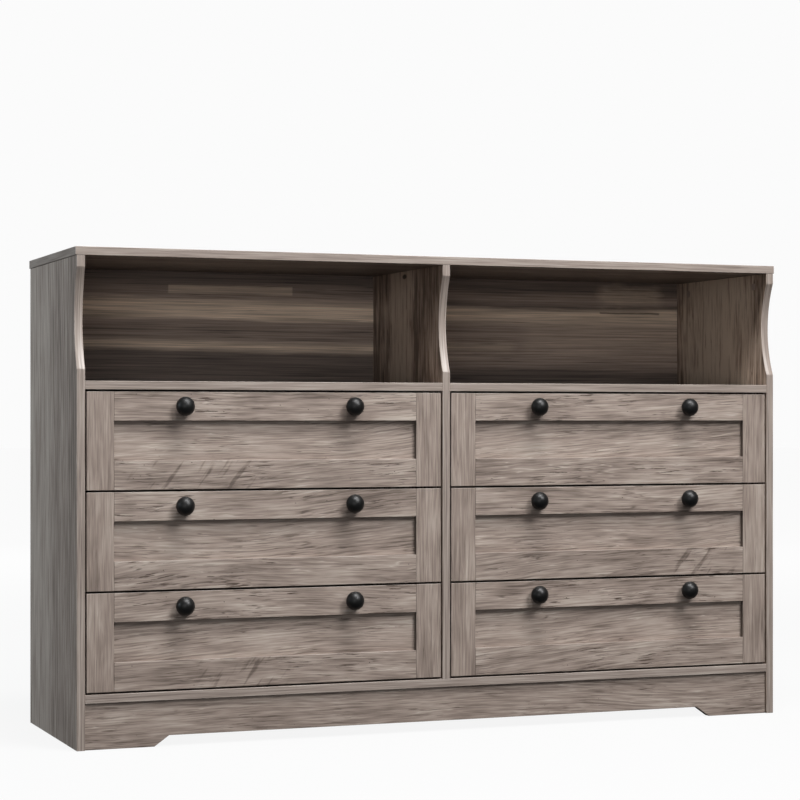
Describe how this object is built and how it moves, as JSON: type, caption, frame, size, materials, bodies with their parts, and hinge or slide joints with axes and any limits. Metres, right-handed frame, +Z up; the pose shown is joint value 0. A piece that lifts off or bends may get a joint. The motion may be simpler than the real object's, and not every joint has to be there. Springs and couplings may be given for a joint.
{
  "type": "dresser with hutch",
  "caption": "Wide flat-pack dresser: columns of inset shaker drawers with round knobs under an open two-bay hutch with arched side edges, on a cut-out kick plate.",
  "frame": {"origin": "on the floor, in the middle of the width and halfway between the knobs' fronts and the rear edges", "axes": "+X to the right seen from the front, +Y to the back, +Z up; the drawers open along -Y"},
  "size_m": [1.4, 0.42, 0.882],
  "materials": {
    "laminate": "greige washed-oak laminate, satin",
    "back_sheet": "printed hardboard, satin",
    "box_board": "paper-faced particle board, matte",
    "black_knob": "satin black",
    "runner_steel": "zinc-plated",
    "zinc_screws": "zinc-plated",
    "cam_zinc": "die-cast, capped in the board's tone",
    "beech": "raw",
    "foot_plastic": "moulded"
  },
  "bodies": {
    "case": {"left_side_panel": "laminate", "right_side_panel": "laminate", "centre_partition": "laminate", "top_panel": "laminate", "left_hutch_deck": "laminate", "right_hutch_deck": "laminate", "bottom_panel": "laminate", "kick_plate": "laminate", "rear_rail": "laminate", "left_back_sheet": "back_sheet", "right_back_sheet": "back_sheet", "centre_foot": "foot_plastic", "cabinet_runners": "runner_steel", "runner_screws": "zinc_screws", "cam_locks": "cam_zinc", "cam_bolts": "zinc_screws", "dowels": "beech", "back_screws": "zinc_screws"},
    "left_bottom_drawer": {"left_bottom_drawer_front_frame": "laminate", "left_bottom_drawer_front_sheet": "laminate", "left_bottom_drawer_box_walls": "box_board", "left_bottom_drawer_box_bottom": "back_sheet", "left_bottom_drawer_knobs": "black_knob", "left_bottom_drawer_runners": "runner_steel", "left_bottom_drawer_fixings": "zinc_screws"},
    "left_middle_drawer": {"left_middle_drawer_front_frame": "laminate", "left_middle_drawer_front_sheet": "laminate", "left_middle_drawer_box_walls": "box_board", "left_middle_drawer_box_bottom": "back_sheet", "left_middle_drawer_knobs": "black_knob", "left_middle_drawer_runners": "runner_steel", "left_middle_drawer_fixings": "zinc_screws"},
    "left_top_drawer": {"left_top_drawer_front_frame": "laminate", "left_top_drawer_front_sheet": "laminate", "left_top_drawer_box_walls": "box_board", "left_top_drawer_box_bottom": "back_sheet", "left_top_drawer_knobs": "black_knob", "left_top_drawer_runners": "runner_steel", "left_top_drawer_fixings": "zinc_screws"},
    "right_bottom_drawer": {"right_bottom_drawer_front_frame": "laminate", "right_bottom_drawer_front_sheet": "laminate", "right_bottom_drawer_box_walls": "box_board", "right_bottom_drawer_box_bottom": "back_sheet", "right_bottom_drawer_knobs": "black_knob", "right_bottom_drawer_runners": "runner_steel", "right_bottom_drawer_fixings": "zinc_screws"},
    "right_middle_drawer": {"right_middle_drawer_front_frame": "laminate", "right_middle_drawer_front_sheet": "laminate", "right_middle_drawer_box_walls": "box_board", "right_middle_drawer_box_bottom": "back_sheet", "right_middle_drawer_knobs": "black_knob", "right_middle_drawer_runners": "runner_steel", "right_middle_drawer_fixings": "zinc_screws"},
    "right_top_drawer": {"right_top_drawer_front_frame": "laminate", "right_top_drawer_front_sheet": "laminate", "right_top_drawer_box_walls": "box_board", "right_top_drawer_box_bottom": "back_sheet", "right_top_drawer_knobs": "black_knob", "right_top_drawer_runners": "runner_steel", "right_top_drawer_fixings": "zinc_screws"}
  },
  "joints": [
    {"name": "left_bottom_drawer_slide", "type": "slide", "parent": "case", "child": "left_bottom_drawer", "axis": [0, -1, 0], "range_m": [0, 0.225]},
    {"name": "left_middle_drawer_slide", "type": "slide", "parent": "case", "child": "left_middle_drawer", "axis": [0, -1, 0], "range_m": [0, 0.225]},
    {"name": "left_top_drawer_slide", "type": "slide", "parent": "case", "child": "left_top_drawer", "axis": [0, -1, 0], "range_m": [0, 0.225]},
    {"name": "right_bottom_drawer_slide", "type": "slide", "parent": "case", "child": "right_bottom_drawer", "axis": [0, -1, 0], "range_m": [0, 0.225]},
    {"name": "right_middle_drawer_slide", "type": "slide", "parent": "case", "child": "right_middle_drawer", "axis": [0, -1, 0], "range_m": [0, 0.225]},
    {"name": "right_top_drawer_slide", "type": "slide", "parent": "case", "child": "right_top_drawer", "axis": [0, -1, 0], "range_m": [0, 0.225]}
  ]
}
